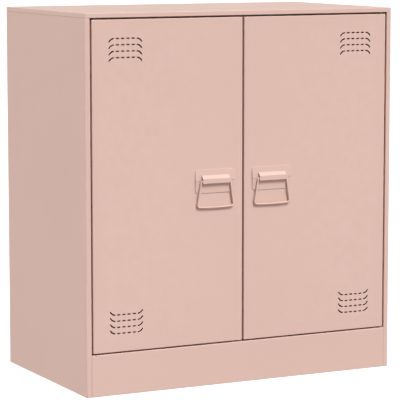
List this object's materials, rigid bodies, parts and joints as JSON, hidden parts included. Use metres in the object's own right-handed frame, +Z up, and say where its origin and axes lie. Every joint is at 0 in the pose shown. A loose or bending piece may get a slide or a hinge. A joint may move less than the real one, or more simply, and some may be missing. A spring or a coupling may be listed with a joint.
{
  "type": "two-door steel locker cabinet",
  "caption": "Low powder-coated steel cabinet with flush vented doors on pivot pins, hinged wire bail handles, a plinth and an adjustable shelf.",
  "frame": {"origin": "middle of the bounding box's footprint, on the floor", "axes": "+Z up, -Y towards the front with the doors, +X to the right as seen from the front"},
  "size_m": [0.67, 0.4, 0.73],
  "materials": {
    "powder_coated_steel": "dusty pink satin powder coat with a fine orange-peel texture",
    "zinc_plated_steel": "bright zinc plating, slightly clouded",
    "black_plastic": "moulded black plastic, matt",
    "ferrite": "sintered ferrite, dull dark grey",
    "nylon": "black nylon",
    "black_rubber": "soft black rubber"
  },
  "bodies": {
    "cabinet": {"top_panel": "powder_coated_steel", "side_panel_left": "powder_coated_steel", "side_panel_right": "powder_coated_steel", "back_panel": "powder_coated_steel", "floor_panel": "powder_coated_steel", "plinth_panel": "powder_coated_steel", "header_rail": "powder_coated_steel", "shelf": "powder_coated_steel", "shelf_rail_front_left": "powder_coated_steel", "shelf_rail_back_left": "powder_coated_steel", "shelf_clip_front_left": "zinc_plated_steel", "shelf_clip_back_left": "zinc_plated_steel", "hinge_pin_lower_left": "zinc_plated_steel", "hinge_pin_upper_left": "zinc_plated_steel", "hinge_plate_lower_left": "zinc_plated_steel", "hinge_plate_upper_left": "zinc_plated_steel", "catch_case_left": "black_plastic", "catch_magnet_left": "ferrite", "shelf_rail_front_right": "powder_coated_steel", "shelf_rail_back_right": "powder_coated_steel", "shelf_clip_front_right": "zinc_plated_steel", "shelf_clip_back_right": "zinc_plated_steel", "hinge_pin_lower_right": "zinc_plated_steel", "hinge_pin_upper_right": "zinc_plated_steel", "hinge_plate_lower_right": "zinc_plated_steel", "hinge_plate_upper_right": "zinc_plated_steel", "catch_case_right": "black_plastic", "catch_magnet_right": "ferrite", "back_screw_1": "zinc_plated_steel", "back_screw_2": "zinc_plated_steel", "back_screw_3": "zinc_plated_steel", "back_screw_4": "zinc_plated_steel", "back_screw_5": "zinc_plated_steel", "back_screw_6": "zinc_plated_steel", "back_screw_7": "zinc_plated_steel", "back_screw_8": "zinc_plated_steel"},
    "door_left": {"door_skin_left": "powder_coated_steel", "door_stiffener_left": "powder_coated_steel", "handle_plate_left": "powder_coated_steel", "handle_strap_left": "powder_coated_steel", "bush_lower_left": "nylon", "bush_upper_left": "nylon", "buffer_lower_left": "black_rubber", "buffer_upper_left": "black_rubber"},
    "door_right": {"door_skin_right": "powder_coated_steel", "door_stiffener_right": "powder_coated_steel", "handle_plate_right": "powder_coated_steel", "handle_strap_right": "powder_coated_steel", "bush_lower_right": "nylon", "bush_upper_right": "nylon", "buffer_lower_right": "black_rubber", "buffer_upper_right": "black_rubber"},
    "bail_left": {"bail_left": "powder_coated_steel"},
    "bail_right": {"bail_right": "powder_coated_steel"}
  },
  "joints": [
    {"name": "door_left_hinge", "type": "hinge", "parent": "cabinet", "child": "door_left", "pos_m": [-0.3137, -0.1872, 0.4011], "axis": [0, 0, -1], "range_deg": [0, 110]},
    {"name": "door_right_hinge", "type": "hinge", "parent": "cabinet", "child": "door_right", "pos_m": [0.3137, -0.1872, 0.4011], "axis": [0, 0, 1], "range_deg": [0, 110]},
    {"name": "bail_left_pivot", "type": "hinge", "parent": "door_left", "child": "bail_left", "pos_m": [-0.0623, -0.1968, 0.4026], "axis": [-1, 0, 0], "range_deg": [0, 90]},
    {"name": "bail_right_pivot", "type": "hinge", "parent": "door_right", "child": "bail_right", "pos_m": [0.0623, -0.1968, 0.4026], "axis": [-1, 0, 0], "range_deg": [0, 90]}
  ]
}
